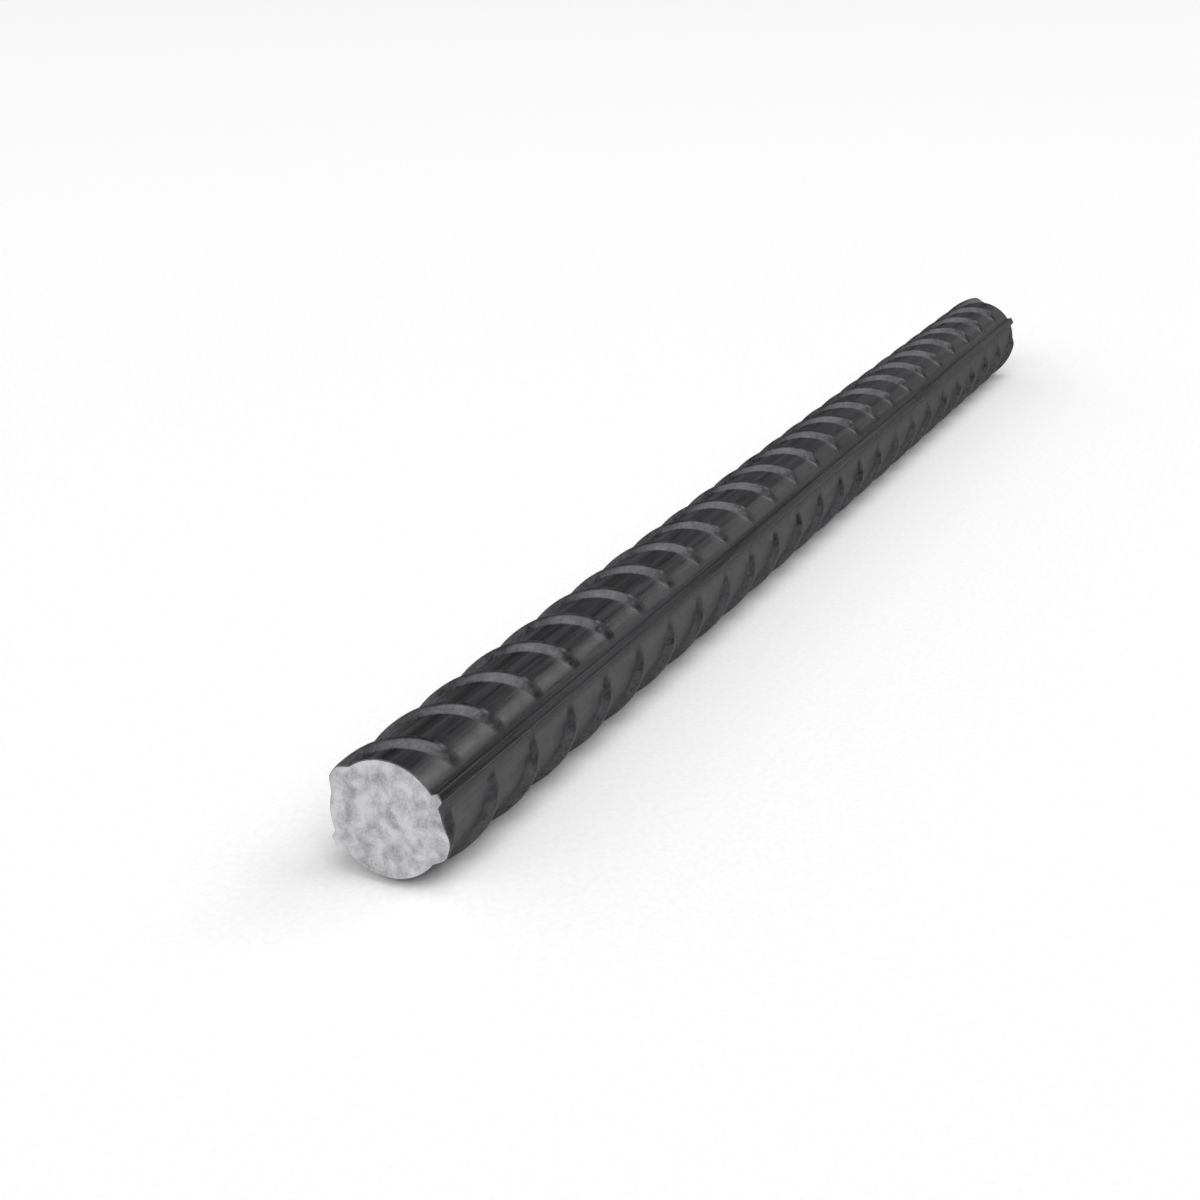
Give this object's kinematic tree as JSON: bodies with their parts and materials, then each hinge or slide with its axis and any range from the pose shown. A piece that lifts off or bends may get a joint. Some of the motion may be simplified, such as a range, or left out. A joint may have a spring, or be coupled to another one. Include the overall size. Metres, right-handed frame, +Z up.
{
  "type": "reinforcing bar",
  "caption": "Short straight length of hot-rolled ribbed steel bar with sawn ends, for reinforcing concrete.",
  "frame": {"origin": "on the bar's axis, midway between its two sawn ends", "axes": "+X along the bar, +Z up as it lies on a level floor"},
  "size_m": [0.34, 0.0194, 0.0194],
  "materials": {
    "rolled_skin": "dark mill scale, satin, with fine lengthwise streaks and worn grey rib crests"
  },
  "bodies": {
    "root": {"bar": "rolled_skin"}
  },
  "joints": []
}
